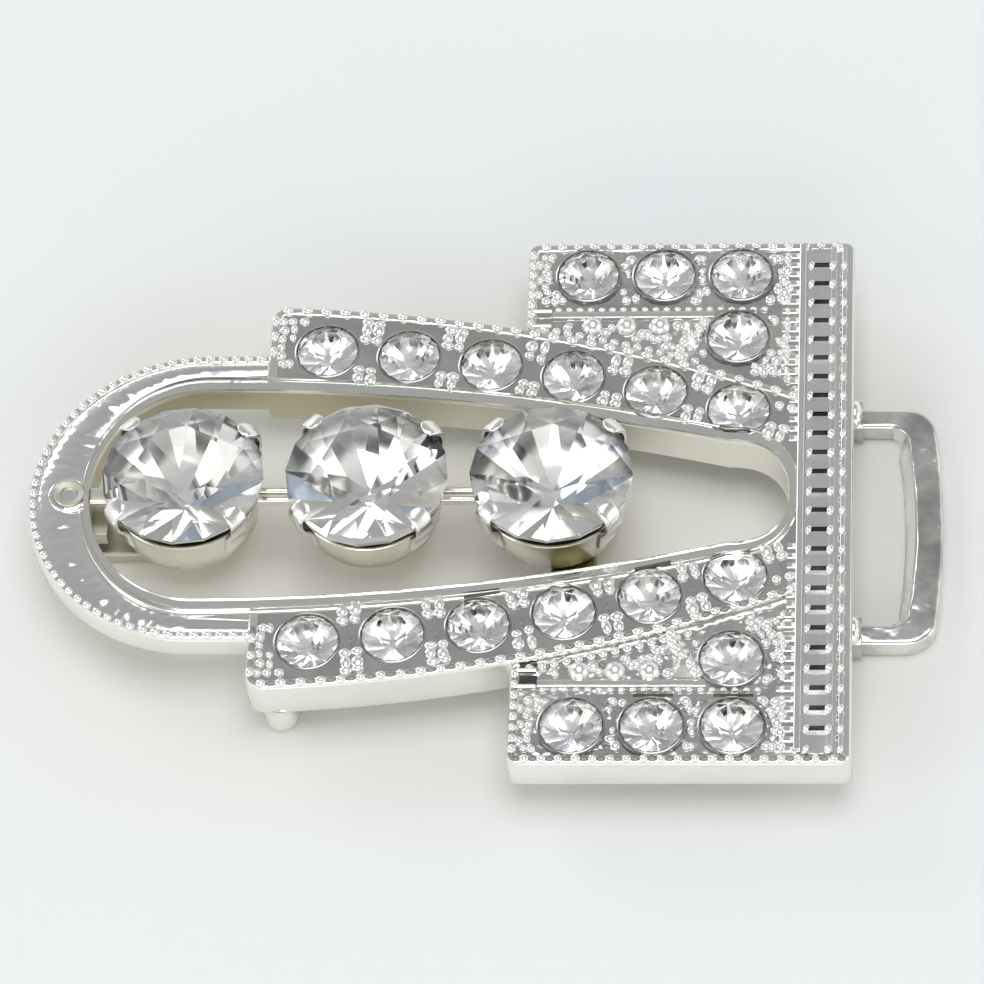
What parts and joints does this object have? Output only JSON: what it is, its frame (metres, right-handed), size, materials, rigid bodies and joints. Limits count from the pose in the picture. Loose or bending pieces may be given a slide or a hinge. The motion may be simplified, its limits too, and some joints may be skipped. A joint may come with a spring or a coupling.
{
  "type": "rhinestone hook clasp",
  "caption": "Cast front clasp with a round end, stone-set arms and block round an opening, a strip of cup-set stones, a strap loop and a plain hook behind.",
  "frame": {"origin": "middle of the clasp's outline, on the surface that it lies on", "axes": "+X along the clasp from the round end to the strap loop, +Z the way the stones face"},
  "size_m": [0.0406, 0.028, 0.0064],
  "materials": {
    "casting": "bright rhodium-coloured plating over cast zinc alloy",
    "cups": "bright plated sheet brass",
    "hook": "bright plated sheet brass",
    "large_stones": "clear cut glass with a silver foil back",
    "small_stones": "clear cut glass with a silver foil back"
  },
  "bodies": {
    "root": {"back_hook": "hook", "cast_plate": "casting", "cup_strip": "cups", "far_arm_stone_1": "small_stones", "far_arm_stone_2": "small_stones", "far_arm_stone_3": "small_stones", "far_arm_stone_4": "small_stones", "far_arm_stone_5": "small_stones", "far_arm_stone_6": "small_stones", "far_inner_stone": "small_stones", "far_row_stone_1": "small_stones", "far_row_stone_2": "small_stones", "far_row_stone_3": "small_stones", "large_stone_1": "large_stones", "large_stone_2": "large_stones", "large_stone_3": "large_stones", "near_arm_stone_1": "small_stones", "near_arm_stone_2": "small_stones", "near_arm_stone_3": "small_stones", "near_arm_stone_4": "small_stones", "near_arm_stone_5": "small_stones", "near_arm_stone_6": "small_stones", "near_inner_stone": "small_stones", "near_row_stone_1": "small_stones", "near_row_stone_2": "small_stones", "near_row_stone_3": "small_stones"}
  },
  "joints": []
}
